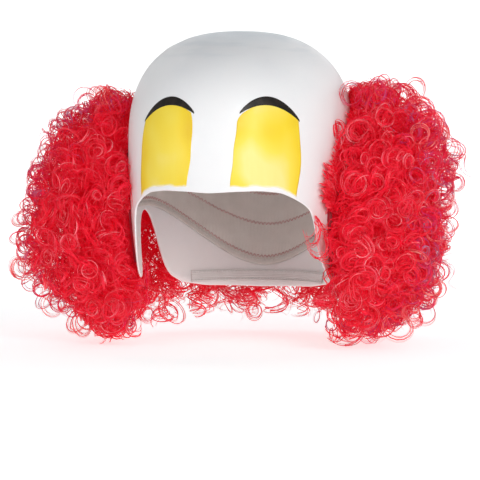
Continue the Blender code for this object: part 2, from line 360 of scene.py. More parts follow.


# Strand colours: (root, tip) for each of the tints; a strand's tint picks its bin. The pinker
# reds 5 to 7 are painted highlights on the fibres; the pale tints from 12 are partly pale
# fibres and partly painted highlights
TINTS = (
    ((0.74, 0.000, 0.016), (0.86, 0.001, 0.026)),
    ((0.82, 0.000, 0.018), (0.92, 0.001, 0.030)),
    ((0.88, 0.001, 0.022), (0.96, 0.003, 0.034)),
    ((0.92, 0.001, 0.024), (0.99, 0.005, 0.040)),
    ((0.94, 0.001, 0.028), (1.00, 0.012, 0.052)),
    ((0.80, 0.004, 0.036), (0.98, 0.045, 0.105)),
    ((0.80, 0.012, 0.050), (1.00, 0.180, 0.250)),
    ((0.78, 0.036, 0.080), (1.00, 0.430, 0.480)),
    ((0.82, 0.002, 0.034), (0.70, 0.014, 0.135)),
    ((0.74, 0.003, 0.044), (0.54, 0.030, 0.215)),
    ((0.64, 0.010, 0.074), (0.36, 0.085, 0.310)),
    ((0.52, 0.040, 0.120), (0.28, 0.300, 0.500)),
    ((0.92, 0.070, 0.110), (0.97, 0.270, 0.280)),
    ((0.92, 0.140, 0.150), (0.98, 0.480, 0.400)),
)
FIRST_FRINGE_TINT = 8
FIRST_PALE_TINT = 12
STRAND_UV = "OFBake"
SHEET_UV = "sheet"          # u across and v up a film, strip or band, both 0 to 1


def hair_material():
    """Curled synthetic fibre. The strand map's u picks a tint, its v runs from root to tip, and
    the bright tints, painted highlights on the fibres, show in short strokes; a faint red emission
    is a painted glow."""
    made, tree, inputs = new_material("red_hair", 0.36, 0.42)
    strand = split(tree, node(tree, "UVMap", {}, uv_map=STRAND_UV)["UV"])
    roots, tips = (
        ramp(tree, strand["X"], [(i / len(TINTS), tint[end]) for i, tint in enumerate(TINTS)],
             "CONSTANT")
        for end in (0, 1))
    colour = mix(tree, map_range(tree, strand["Y"], 0.05, 0.70), roots, tips)
    # Painted highlights broken up: noise turns most of each strand deep red, so the pink and pale
    # tints show only in short strokes
    strokes = map_range(tree, noise(tree, 125, 2), 0.40, 0.58, 0.0, 0.72)
    feed(tree, inputs, {
        "Base Color": mix(tree, strokes, colour, (0.84, 0.001, 0.022)),
        "Sheen Weight": 0.9,
        "Sheen Roughness": 0.6,
        "Sheen Tint": (1.0, 0.05, 0.09),
        # Painted glow: the hair gives off faint red light in place of light that passes through
        # the fibres
        "Emission Color": (1.0, 0.003, 0.02),
        "Emission Strength": 0.15})
    return made


# Meshes

def scene_object(name, data):
    made = bpy.data.objects.new(name, data)
    bpy.context.scene.collection.objects.link(made)
    return made


def facing(way):
    """Rotation of a lamp or a camera that looks along a vector."""
    return way.to_track_quat("-Z", "Y").to_euler()


def mesh_object(name, points, faces, finish):
    """Smooth object from points and faces."""
    data = bpy.data.meshes.new(name)
    data.from_pydata([tuple(p) for p in points], [], faces)
    data.validate()
    data.shade_smooth()
    data.materials.append(finish)
    return scene_object(name, data)


def grid_faces(rows, columns, first=0, closed=False):
    """Quads over a grid of points, numbered row by row from first. A closed grid's last
    column joins its first."""
    faces = []
    for row in range(first, first + (rows - 1) * columns, columns):
        for j in range(columns if closed else columns - 1):
            k = (j + 1) % columns
            faces.append((row + j, row + k, row + columns + k, row + columns + j))
    return faces


def closed_shell(name, outer, inner, finish):
    """Sheet with a wall: outer and inner point grids, joined round their border."""
    rows, columns = outer.shape[:2]
    points = np.concatenate([outer.reshape(-1, 3), inner.reshape(-1, 3)])
    size = rows * columns
    faces = grid_faces(rows, columns)
    faces += [face[::-1] for face in grid_faces(rows, columns, size)]
    grid = np.arange(size).reshape(rows, columns)
    marks = np.concatenate([grid[0], grid[1:, -1], grid[-1, -2::-1],
                            grid[-2:0:-1, 0]]).tolist()
    faces += [(b, a, size + a, size + b) for a, b in zip(marks, marks[1:] + marks[:1])]
    made = mesh_object(name, points, faces, finish)
    layer = made.data.uv_layers.new(name=SHEET_UV)
    across, up = np.meshgrid(np.linspace(0, 1, columns), np.linspace(0, 1, rows))
    places = np.tile(np.stack([across.ravel(), up.ravel()], axis=-1), (2, 1))
    corners = np.empty(len(made.data.loops), np.int32)
    made.data.loops.foreach_get("vertex_index", corners)
    layer.data.foreach_set("uv", places[corners].astype(np.float32).ravel())
    return made


def cap_ripple(points):
    """Small unevenness of the latex where it stretches over the head, in metres."""
    x, y, z = points[..., 0], points[..., 1], points[..., 2]
    slow = np.sin(x * 47 + 1.3) * np.sin(z * 61 + y * 23) + 0.6 * np.sin(y * 71 + z * 37 + 0.4)
    crease = np.sin((z + 0.35 * x + 0.004 * np.sin(x * 38)) * 420)
    high = np.clip((z - 0.078) / 0.02, 0, 1) * np.clip(-y / 0.03, 0, 1)
    return (0.13 * slow + 0.26 * crease * high * np.exp(-((z - 0.099) / 0.006) ** 2)) * MM


def build_cap(finish):
    """The moulded dome, with a rounded rim and its wall, fine enough to show no facets."""
    columns, side_rows, dome_rows = 300, 30, 46
    angles = np.arange(columns) * 360 / columns
    rim = rim_height(angles)
    levels = [rim + (SPRING_Z - rim) * share for share in np.linspace(0, 1, side_rows + 1)[:-1]]
    rise = np.sin(np.linspace(0, math.pi / 2, dome_rows + 1)[:-1]) ** (2 / DOME_POWER)
    levels += [np.full(columns, SPRING_Z + (CROWN_Z - SPRING_Z) * r) for r in rise]
    outer = np.stack([head_surface(angles, level) for level in levels])
    normal = np.stack([head_normal(angles, np.minimum(level, CROWN_Z - 1.5 * MM))
                       for level in levels])
    outer = outer + normal * cap_ripple(outer)[..., None]
    inner = outer - normal * WALL
    round_rows = []
    for depth in (0.85, 0.5, 0.15):
        middle = outer[0] * (1 - depth) + inner[0] * depth
        middle[:, 2] -= math.sin(math.pi * depth) * 0.45 * WALL
        round_rows.append(middle)
    rows = [*inner[::-1], *round_rows, *outer]
    points = np.concatenate(rows + [[[0, 0, CROWN_Z - WALL]], [[0, 0, CROWN_Z]]])
    faces = grid_faces(len(rows), columns, closed=True)
    inner_pole = len(rows) * columns
    last = inner_pole - columns
    for j in range(columns):
        k = (j + 1) % columns
        faces += [(inner_pole, k, j), (last + j, last + k, inner_pole + 1)]
    return mesh_object("latex_cap", points, faces, finish)


PANEL_FOOT_ANGLES = {1: (10.5, 44.2), -1: (11.9, 43.8)}
PANEL_ARCH_ANGLES = {1: (14.5, 45.2), -1: (8.5, 40.0)}
PANEL_BOW = {1: 0.2, -1: 1.1}       # degrees that the inner edge bows towards the nose
PANEL_CORNER = {1: 2.6, -1: 0.9}    # degrees that its top corner is rounded off
BROW_INNER = {1: 0.6, -1: -0.6}     # degrees from the panel's edge to the brow's inner tip


def arch_height(share):
    """Lower edge of the brow over its width, 0 at the inner tip and 1 at the outer tip."""
    return (53.5 + (48 - 53.5) * share + 8.3 * 4 * share * (1 - share)) * MM


def paint_film(name, angle_grid, height_grid, finish, coats=1.0):
    """Film of paint that lies on the cap over a grid of angles and heights."""
    film = 0.10 * MM * coats
    seat = off_head(angle_grid, height_grid, np.zeros(angle_grid.shape))
    lift = cap_ripple(seat)
    outer = off_head(angle_grid, height_grid, lift + film)
    inner = off_head(angle_grid, height_grid, lift - film)
    return closed_shell(name, outer, inner, finish)


def facing_out(side, angle, height):
    """Angle and height grids of a film, in rising angle on either side of the face."""
    if side > 0:
        return angle, height
    return -angle[:, ::-1], height[:, ::-1]


def build_paint(side, yellow, black):
    """One eye panel with hand-painted edges, and its tapered brow."""
    wave = uniform(0, TAU, 4)
    share, up = np.meshgrid(np.linspace(0, 1, 60), np.linspace(0, 1, 90))
    edges = [foot + (arch - foot) * up for foot, arch in
             zip(PANEL_FOOT_ANGLES[side], PANEL_ARCH_ANGLES[side])]
    bow = np.sin(math.pi * up)
    inner = (edges[0] - PANEL_BOW[side] * bow + 0.16 * np.sin(up * 15 + wave[1])
             + PANEL_CORNER[side] * np.clip((up - 0.86) / 0.14, 0, 1) ** 2)
    outer = edges[1] + 1.4 * bow + 0.22 * np.sin(up * 9 + wave[2])
    angle = inner + (outer - inner) * share
    corner = np.clip((share - 0.72) / 0.28, 0, 1) ** 2
    foot = rim_height(angle) + (2.5 - 1.8 * corner + 0.35 * np.sin(share * 21 + wave[3])) * MM
    arch = arch_height(share) + 0.3 * MM
    panel = paint_film(f"painted_panel_{SIDE_NAMES[side]}",
                       *facing_out(side, angle, foot + (arch - foot) * up), yellow)

    share, up = np.meshgrid(np.linspace(0, 1, 120), np.linspace(0, 1, 9))
    tip_in, tip_out = PANEL_ARCH_ANGLES[side][0] + BROW_INNER[side], PANEL_ARCH_ANGLES[side][1]
    angle = tip_in + (tip_out + 0.6 - tip_in) * share
    fullness = (4 * share * (1 - share)) ** 0.70
    low = arch_height(share) - 0.5 * MM
    height = low + (0.9 + 5.1 * fullness) * MM * up
    brow = paint_film(f"painted_brow_{SIDE_NAMES[side]}", *facing_out(side, angle, height),
                      black, 1.6)
    return panel, brow


INSIDE = -(WALL + 0.7 * MM)         # outer face of the lining and the elastic
LINING_WALL, ELASTIC_WALL = 0.6 * MM, 1.0 * MM
LINING_SPAN, LINING_MARGIN = (68, 292), 6 * MM
ELASTIC_SPAN, ELASTIC_HEIGHTS = (134, 226), (-71.5 * MM, -63.5 * MM)


def lining_depth(angle, share):
    """Inner face of the lining: puffed between the stitched rows, thicker at its hems."""
    puff = np.abs(np.sin(math.pi * (share * 4.6 - 0.3)))
    pucker = np.sin(angle * 3.1 + 2 * np.sin(share * 9)) * (1 - puff)
    hem = np.clip((np.abs(share - 0.5) - 0.455) / 0.008, 0, 1)
    return INSIDE - LINING_WALL - (0.5 * puff + 0.12 * pucker + 0.45 * hem) * MM


def lining_edges(angle):
    """Heights of the lining's two hems."""
    return track_height(4, angle) - LINING_MARGIN, track_height(0, angle) + LINING_MARGIN


def inner_band(name, angle, height, depth, finish):
    """Band inside the cap, over grids of angle, height and depth of its inner face."""
    return closed_shell(name, off_head(angle, height, np.full(angle.shape, INSIDE)),
                        off_head(angle, height, depth), finish)


def build_lining(finish):
    """Cotton band behind the wefts, hemmed top and bottom."""
    angle, share = np.meshgrid(np.linspace(*LINING_SPAN, 420), np.linspace(0, 1, 90))
    low, high = lining_edges(angle)
    return inner_band("cotton_lining", angle, low + (high - low) * share,
                      lining_depth(angle, share), finish)


def build_elastic(finish):
    """Ribbed elastic tape inside the nape."""
    angle, share = np.meshgrid(np.linspace(*ELASTIC_SPAN, 160), np.linspace(0, 1, 43))
    height = ELASTIC_HEIGHTS[0] + (ELASTIC_HEIGHTS[1] - ELASTIC_HEIGHTS[0]) * share
    ribs = np.abs(np.sin(math.pi * share * 7))
    return inner_band("elastic_tape", angle, height, INSIDE - ELASTIC_WALL - 0.22 * MM * ribs,
                      finish)


def stitches(name, lines, step, swing, finish):
    """Zigzag stitches as short threads. lines holds (span, height of the line at an angle,
    depth of the cloth at an angle) for each sewn line."""
    paths = []
    share = np.linspace(0, 1, 6)
    for span, level, depth in lines:
        marks = np.arange(span[0], span[1], step)
        swings = swing * (-1.0) ** np.arange(len(marks))
        angle = marks[:-1, None] + np.diff(marks)[:, None] * (0.04 + 0.92 * share)
        height = level(angle) + swings[:-1, None] * (1 - 2 * share)
        sink = depth(angle) + (0.16 - 0.42 * np.sin(math.pi * share)) * MM
        paths.append(off_head(angle, height, sink))
    radii = [np.full(path.shape[:2], 0.17 * MM) for path in paths]
    return tubes(name, paths, radii, [np.zeros(len(path)) for path in paths], finish)


def build_stitches(red_thread, white_thread):
    """The wefts' seams through the lining, its two hems, and the elastic's seams."""
    def depth_on_row(row, angle):
        low, high = lining_edges(angle)
        return lining_depth(angle, (track_height(row, angle) - low) / (high - low))

    seams = [((start + 1, 359 - start), lambda a, row=row: track_height(row, a),
              lambda a, row=row: depth_on_row(row, a))
             for row, (_, _, start) in enumerate(TRACK_ROWS)]
    hems = [(LINING_SPAN, lambda a, row=row, rise=rise: track_height(row, a) + rise,
             lambda a, share=share: lining_depth(a, np.full(a.shape, share)))
            for row, rise, share in ((0, 3.2 * MM, 0.97), (4, -3.2 * MM, 0.03))]
    tape = [(ELASTIC_SPAN, lambda a, rise=rise: np.full(a.shape, rise),
             lambda a: np.full(a.shape, INSIDE - ELASTIC_WALL - 0.1 * MM))
            for rise in (-70.3 * MM, -64.7 * MM)]
    return (stitches("weft_seams", seams, 1.1, 1.1 * MM, red_thread),
            stitches("lining_hem_seams", hems, 1.5, 0.0, white_thread),
            stitches("elastic_seams", tape, 1.0, 0.7 * MM, white_thread))


# Hair

def tubes(name, paths, radii, tints, finish):
    """One mesh of closed three-sided tubes. paths is a list of (strands, points, 3) arrays,
    radii of (strands, points) arrays and tints of (strands,) arrays."""
    points, quads, caps, uvs, cap_uvs = [], [], [], [], []
    base, count = 0, len(TINTS)
    side = np.arange(3)
    nearby = (side + 1) % 3
    for path, radius, tint in zip(paths, radii, tints):
        strands, length = path.shape[:2]
        tangent = unit(np.gradient(path, axis=1))
        axis = unit(path[:, -1:] - path[:, :1])
        first = unit(np.cross(tangent, unit(axis + 0.37 * np.array([0.3, 0.9, 0.2]))))
        second = np.cross(tangent, first)
        ring = [path + radius[..., None] * (math.cos(turn) * first + math.sin(turn) * second)
                for turn in TAU * side / 3]
        points.append(np.stack(ring, axis=2).reshape(-1, 3))
        start = base + (np.arange(strands) * length * 3)[:, None]
        at = start[:, None] + (np.arange(length - 1) * 3)[:, None]
        quads.append(np.stack([at + side, at + nearby, at + 3 + nearby, at + 3 + side],
                              axis=-1).reshape(-1, 4))
        caps += [start + side[::-1], start + (length - 1) * 3 + side]
        u = ((tint + 0.12)[:, None, None] + 0.76 * side / 3) / count
        u, low = np.broadcast_arrays(u, (np.arange(length - 1) / length)[:, None])
        wide, high = u + 0.76 / 3 / count, low + 1 / length
        pairs = ((u, low), (wide, low), (wide, high), (u, high))
        uvs.append(np.stack([np.stack(pair, -1) for pair in pairs], axis=3).reshape(-1, 2))
        for v in (0.02, 0.98):
            cap = np.broadcast_arrays(((tint + 0.5)[:, None] + 0.01 * side) / count,
                                      v + 0.004 * (side == 1))
            cap_uvs.append(np.stack(cap, axis=-1).reshape(-1, 2))
        base += strands * length * 3
    points, quads, caps = (np.concatenate(parts) for parts in (points, quads, caps))
    corners = np.concatenate([quads.ravel(), caps.ravel()]).astype(np.int32)
    totals = np.repeat([4, 3], [len(quads), len(caps)]).astype(np.int32)
    data = bpy.data.meshes.new(name)
    data.vertices.add(len(points))
    data.vertices.foreach_set("co", points.astype(np.float32).ravel())
    data.loops.add(len(corners))
    data.loops.foreach_set("vertex_index", corners)
    data.polygons.add(len(totals))
    data.polygons.foreach_set("loop_start", (np.cumsum(totals) - totals).astype(np.int32))
    data.polygons.foreach_set("loop_total", totals)
    data.polygons.foreach_set("use_smooth", np.ones(len(totals), bool))
    layer = data.uv_layers.new(name=STRAND_UV)
    layer.data.foreach_set("uv", np.concatenate(uvs + cap_uvs).astype(np.float32).ravel())
    data.update(calc_edges=True)
    data.materials.append(finish)
    return scene_object(name, data)


CLUMPS = 5                  # clumps of strands in a lock
SIDE_LOCKS, BACK_LOCKS = 185, 285
SIDE_ROSETTES, BACK_ROSETTES = 62, 80       # in each piece
SIDE_LOOPS, BACK_LOOPS = 190, 150
SIDE_TUFTS, BACK_TUFTS = 160, 125           # undercoat of a side and of a third of the back
HAIRLINE_TUFTS, FRONT_CURLS = 240, 80
SIDE_BEND = (0.078, 0.122)  # distances out from the head, given to dress with each mass
BACK_BEND = (0.098, 0.140)


def guide(root, out, tip, points, lift, gather):
    """Points of a curve from a root, leaving along out, to a tip. They gather at the tip,
    so that a ringlet's last rings lie close together."""
    reach = np.linalg.norm(tip - root)
    knee = root + out * reach * 0.5 + np.array([0, 0, lift])
    t = 1 - (1 - np.linspace(0, 1, points)[:, None]) ** gather
    return root * (1 - t) ** 2 + 2 * knee * t * (1 - t) + tip * t ** 2


def curl(route, strands, turns, coil, spread):
    """Points of strands that wind round a route as one ringlet, gathered in clumps."""
    start_turn, hand = uniform(0, TAU), random.choice((-1, 1))
    share = np.linspace(0, 1, len(route))
    clump = np.arange(strands) % CLUMPS

    def varied(between, within, *shape):
        """Variation from clump to clump, and a little from strand to strand."""
        shared = gauss(size=(CLUMPS, 1, *shape))[clump]
        return between * shared + within * gauss(size=(strands, 1, *shape))

    axis = unit(route[-1] - route[0])
    side = unit(np.cross(axis, gauss(size=3)))
    tangent = unit(np.gradient(route, axis=0))
    across = unit(side - tangent * (tangent @ side)[:, None])
    other = np.cross(tangent, across)
    grow = np.clip(share / 0.22, 0, 1)
    grow = grow * grow * (3 - 2 * grow)
    size = coil * np.maximum(1 + varied(0.17, 0.025), 0.4) * grow * (1 - 0.2 * share)
    turn = (start_turn + varied(0.38, 0.05)
            + hand * TAU * turns * (1 + varied(0.04, 0.004)) * share)
    shift = varied(spread, 0.14 * MM, 3) * (0.35 + share[None, :, None])
    sway = np.sin(share[None, :, None] * varied(2.0, 0.1, 1) * 4 + varied(2.0, 0.1, 1))
    wobble = varied(0.8 * spread, 0.08 * MM, 3) * sway * share[None, :, None]
    ring = np.cos(turn)[..., None] * across + np.sin(turn)[..., None] * other
    return route + size[..., None] * ring + shift + wobble


def rounded(turn):
    out = np.abs(np.sin(turn)) ** BULGE
    return out, -np.copysign(np.abs(np.cos(turn)) ** BULGE, np.cos(turn))


def side_envelope(side, turn, height):
    """Outer face of a side mass at a turn from the front and a height."""
    level = height / MM
    across = np.interp(level, SIDE_REACH_HEIGHTS, SIDE_REACH[side]) * MM - SIDE_CENTRE[0]
    forward = np.interp(level, SIDE_REACH_HEIGHTS, FRONT_REACH) * MM
    out, along = rounded(turn)
    reach = SIDE_BACK_REACH if along > 0 else forward
    return np.array([side * (SIDE_CENTRE[0] + across * out), SIDE_CENTRE[1] + reach * along,
                     height])


def back_envelope(turn, height):
    """Outer face of the back mass at a turn from its middle and a height."""
    level = height / MM
    half = np.interp(level, BACK_REACH_HEIGHTS, BACK_HALF_WIDTH) * MM
    depth = np.interp(level, BACK_REACH_HEIGHTS, BACK_DEPTH) * MM
    across = math.copysign(abs(math.sin(turn)) ** BULGE, math.sin(turn))
    return np.array([half * across, SPLIT_Y + depth * math.cos(turn) ** BULGE, height])


SIDE_TURNS = (math.radians(14), math.radians(128))
MEETING_TURNS = (math.radians(112), math.radians(144))
SIDE_FOOT = -100 * MM
SOFT_FLOOR, FLOOR_ROOM = -104 * MM, 8.5 * MM
SIDE_TOP = {1: 54 * MM, -1: 49 * MM}
BACK_SPAN = (-98 * MM, 40 * MM)


def side_root(side, turn, height):
    """Row, root point and outward normal for a side lock whose tip is at a turn and height."""
    place = (turn - SIDE_TURNS[0]) / (SIDE_TURNS[1] - SIDE_TURNS[0])
    sink = (SIDE_TOP[side] - height) / (SIDE_TOP[side] - SIDE_FOOT)
    wanted = (62 - 74 * sink) * MM
    rows = np.array([TRACK_ROWS[i][0] for i in range(5)]) * MM
    row = int(np.argmin(np.abs(rows - wanted - gauss() * 5 * MM)))
    root_height = rows[row] + mm_from(-2.5, 2.5)
    if row == 0 and side < 0:
        root_height -= 6 * MM
    if place < 0.30 and height < -15 * MM:
        root_height = mm_from(-50, -8)
        row = 4
    front = float(hairline(root_height)) + 1.0
    angle = front + (118 - front) * np.clip(place + gauss() * 0.05, 0, 1)
    if row == 4 and root_height < -12 * MM:
        angle = front + uniform(0, 3)
    return row, *rooted(side * angle, root_height)


def back_root(turn, height):
    sink = (BACK_SPAN[1] - height) / (BACK_SPAN[1] - BACK_SPAN[0])
    row = int(np.clip(round(sink * 4 + gauss() * 0.35), 0, 4))
    angle = 180 - 62 * (turn / (math.pi / 2))
    root_height = track_height(row, angle) + mm_from(-2.5, 2.5)
    return row, *rooted(angle, root_height)


# Shares of the eight red tints; the pinker tints 5 to 7 are painted highlights on the fibres, and
# BRIGHT_SHARES gives more of them
RED_SHARES = (0.12, 0.16, 0.18, 0.17, 0.12, 0.09, 0.08, 0.08)
BRIGHT_SHARES = (0.02, 0.06, 0.12, 0.16, 0.16, 0.15, 0.16, 0.17)
FRINGE_SHARES = (0.28, 0.27, 0.23, 0.22)


def pick_tints(strands, edge, shares):
    """Tints for a lock, most of them shared inside a clump: reds, and with the chance edge
    the purples and blues of the fringe."""
    def draw(number):
        reds = random.choice(FIRST_FRINGE_TINT, number, p=shares)
        fringe = FIRST_FRINGE_TINT + random.choice(4, number, p=FRINGE_SHARES)
        return np.where(random.random(number) < edge, fringe, reds)

    shared = draw(CLUMPS)[np.arange(strands) % CLUMPS]
    return np.where(random.random(strands) < 0.72, shared, draw(strands))


def clear_of_head(path):
    """Hair moved out of the head and the cap, and eased up from below its lowest level."""
    path = path.copy()
    width, back, front = section_scales(path[..., 2])
    length = np.where(path[..., 1] < 0, front, back)
    share = np.hypot(path[..., 0] / (HALF_WIDTH * np.maximum(width, 0.05)),
                     path[..., 1] / (HALF_LENGTH * np.maximum(length, 0.05)))
    clear = 1 + 0.5 * MM / HALF_WIDTH
    inside = (share < clear) & (path[..., 2] < CROWN_Z - 8 * MM)
    push = np.where(inside, clear / np.maximum(share, 0.3), 1.0)
    path[..., :2] *= push[..., None]
    low = path[..., 2] < SOFT_FLOOR
    eased = SOFT_FLOOR + FLOOR_ROOM * np.tanh((path[..., 2] - SOFT_FLOOR) / FLOOR_ROOM)
    path[..., 2] = np.where(low, eased, path[..., 2])
    return path


class HairPiece:
    """Strands gathered for one mesh."""

    def __init__(self):
        self.paths, self.radii, self.tints = [], [], []

    def add(self, path, thick, edge=0.0, shares=RED_SHARES, tints=None):
        """Strands of even thickness, drawn out at the tip; their tints, or how to pick them."""
        strands, points = path.shape[:2]
        taper = np.clip((1 - np.linspace(0, 1, points)) / 0.15, 0.25, 1)
        self.paths.append(clear_of_head(path))
        self.radii.append(thick * uniform(0.8, 1.2, (strands, 1)) * taper)
        self.tints.append(pick_tints(strands, edge, shares) if tints is None else tints)

    def build(self, name, finish):
        return tubes(name, self.paths, self.radii, self.tints, finish)


def grow_lock(piece, root, out, tip, strands, edge, loose):
    """One ringlet, or a loose frizzy lock, from a root to a tip."""
    reach = float(np.linalg.norm(tip - root))
    lift = mm_from(2, 12) if tip[2] < root[2] else mm_from(0, 5)
    if loose:
        turns = reach / uniform(12, 18) / MM
        coil, spread = mm_from(2.8, 5.2), mm_from(2.2, 4.0)
        points, gather = int(np.clip(turns * 10, 20, 46)), 1.2
    else:
        turns = reach / uniform(17, 25) / MM + 0.7
        coil, spread = mm_from(5.0, 8.8), mm_from(0.7, 1.4)
        points, gather = int(np.clip(turns * 11, 24, 50)), 1.75
    route = guide(root, out, tip, points, lift, gather)
    path = curl(route, strands, turns, coil, spread)
    piece.add(path, mm_from(0.15, 0.21), edge)


def random_tip(side):
    """Turn and height of a lock's tip in a side mass, more of them outside and below."""
    low, high = SIDE_TURNS
    turn = low + (high - low) * random.beta(1.2, 1.05)
    if random.random() < 0.16:
        turn = uniform(*MEETING_TURNS)
    height = SIDE_FOOT + (SIDE_TOP[side] - SIDE_FOOT) * random.beta(0.86, 1.10)
    return turn, height


def side_tip(side, turn, height, depth, inward=4 * MM):
    """Point in a side mass: depth 0 on the head and 1 on the outer face."""
    rim = side_envelope(side, turn, height)
    rim[0] -= side * inward * abs(math.sin(turn))
    middle = head_surface(side * 84, height)
    return middle + (rim - middle) * depth


def grow_side(side, finish):
    """Hair of one side mass: ringlets, frizz and an undercoat for each row."""
    pieces = {}
    for number in range(SIDE_LOCKS):
        turn, height = random_tip(side)
        row, root, out = side_root(side, turn, height)
        depth = 1.02 - 0.60 * random.random() ** 2.0
        tip = side_tip(side, turn, height, depth, 1 * MM)
        edge = 0.55 * max(0.0, depth - 0.74) / 0.26 * abs(math.sin(turn)) ** 5
        loose = number % 10 < 3
        piece = pieces.setdefault((row, "frizz" if loose else "curls"), HairPiece())
        grow_lock(piece, root, out, tip, 14, edge, loose)
    for number in range(SIDE_TUFTS):
        turn, height = random_tip(side)
        row, root, out = side_root(side, turn, height)
        away = out + gauss(size=3) * 0.55
        if root[2] > 35 * MM:
            away[2] = min(away[2], 0.0)
        tip = root + unit(away) * mm_from(18, 38)
        piece = pieces.setdefault((row, "frizz"), HairPiece())
        grow_lock(piece, root, out, tip, 9, 0.0, True)
    return [(row if kind == "curls" else None,
             piece.build(f"{kind}_{SIDE_NAMES[side]}_{row + 1}", finish))
            for (row, kind), piece in sorted(pieces.items())]


def grow_hairline(side, finish):
    """Short tufts on the edge track that brush forward over the cap, in little points."""
    piece = HairPiece()
    long_side = side > 0
    for _ in range(HAIRLINE_TUFTS):
        height = mm_from(-14, 66 if long_side else 58)
        angle = float(hairline(height)) + uniform(-1.2, 3.0)
        root, out = rooted(side * angle, height, 1.0 * MM)
        ahead = unit(head_surface(side * (angle - 1), height) - head_surface(side * angle, height))
        rise = np.array([0, 0, gauss() * 0.28 + (0.3 if long_side else 0.0)])
        away = unit(ahead * uniform(0.8, 1.3) + out * uniform(0.3, 0.8) + rise)
        length = mm_from(11, 21) if long_side else mm_from(5, 11)
        strands, points = 9, 9
        share = np.linspace(0, 1, points)
        route = root + away * length * share[:, None] - out * length * 0.25 * share[:, None] ** 2
        path = curl(route, strands, uniform(0.2, 0.6), mm_from(0.5, 1.5), 0.20 * MM)
        start = gauss(size=(strands, 1, 3)) * 1.7 * MM
        path = path + start * (1 - share[None, :, None])
        piece.add(path, 0.17 * MM, 0.0, BRIGHT_SHARES)
    return piece.build(f"hairline_{SIDE_NAMES[side]}", finish)


def grow_front(side, finish):
    """Ringlets that face forward, rooted along the front hairline, and the ones that hang
    below the ear."""
    piece = HairPiece()
    for number in range(FRONT_CURLS):
        below = number % 3 == 0
        height = mm_from(-95, -62) if below else mm_from(-92, 56)
        root_height = float(np.clip(height * 0.75 + 4 * MM, -50 * MM, 58 * MM))
        angle = float(hairline(root_height)) + uniform(0, 5)
        root, out = rooted(side * angle, root_height, 1.0 * MM)
        if below:
            tip = np.array([side * uniform(63, 86), uniform(-34, 16), height / MM]) * MM
        else:
            turn = math.radians(uniform(2, 40))
            tip = side_tip(side, turn, height, uniform(0.72, 1.0), 2 * MM)
            if side > 0 and height < -4 * MM:
                tip[0] -= mm_from(0, 14)
        grow_lock(piece, root, out, tip, 12, 0.06 if below else 0.0, number % 4 == 0)
    return piece.build(f"front_curls_{SIDE_NAMES[side]}", finish)


def grow_rosettes(name, count, place, finish):
    """Ringlet ends that face outwards: rings round an axis that points away from the head."""
    piece = HairPiece()
    ring_sizes = np.array([1.0, 0.86, 0.66, 0.44, 0.95])
    strands, points = 10, 28
    share = np.linspace(0, 1, points)[None]
    tail = (1 - share) ** 3
    for _ in range(count):
        centre, away, edge = place()
        axis = unit(away + 0.38 * gauss(size=3))
        across = unit(np.cross(axis, gauss(size=3)))
        other = np.cross(axis, across)
        radius = mm_from(4.8, 9.5)
        clump = np.arange(strands) % CLUMPS
        ring = radius * (ring_sizes[clump] + 0.03 * gauss(size=strands))[:, None]
        size = ring * (1 + 0.6 * tail - 0.22 * share)
        turns = uniform(1.1, 1.9) * (1 + 0.1 * gauss(size=CLUMPS))[clump]
        begin = uniform(0, TAU) + 0.7 * gauss(size=CLUMPS)[clump]
        turn = (begin[:, None] + random.choice((-1, 1)) * TAU * turns[:, None] * share
                + 0.05 * gauss(size=(strands, 1)))
        rise = -9 * MM * tail + 0.4 * (ring - radius) + 1.5 * MM * share
        shift = (0.5 * MM * gauss(size=(CLUMPS, 1, 3))[clump]
                 + 0.14 * MM * gauss(size=(strands, 1, 3)))
        path = (centre + size[..., None] * (np.cos(turn)[..., None] * across
                                            + np.sin(turn)[..., None] * other)
                + rise[..., None] * axis + shift)
        piece.add(path, mm_from(0.16, 0.22), edge, BRIGHT_SHARES)
    return piece.build(name, finish)


def side_rosette(side):
    turn, height = random_tip(side)
    if random.random() < 0.3:
        turn = math.radians(uniform(6, 50))
    if side < 0 and random.random() < 0.10:
        turn = math.radians(uniform(25, 95))
        centre = side_tip(side, turn, SIDE_TOP[side], uniform(0.25, 0.62))
        centre[2] += mm_from(2, 14)
        return centre, unit(np.array([side * 0.4, -0.7, 0.8])), 0.25
    centre = side_tip(side, turn, height, uniform(0.88, 0.98), 3 * MM)
    away = unit(centre - head_surface(side * 84, height) + np.array([0, -12 * MM, 0]))
    edge = 0.5 if abs(math.sin(turn)) > 0.94 else 0.0
    return centre, away, edge


def back_rosette():
    turn, height = uniform(-1.4, 1.4), uniform(*BACK_SPAN)
    centre = back_tip(turn, height, uniform(0.88, 0.97))
    return centre, unit(np.array([math.sin(turn), math.cos(turn), 0])), 0.12


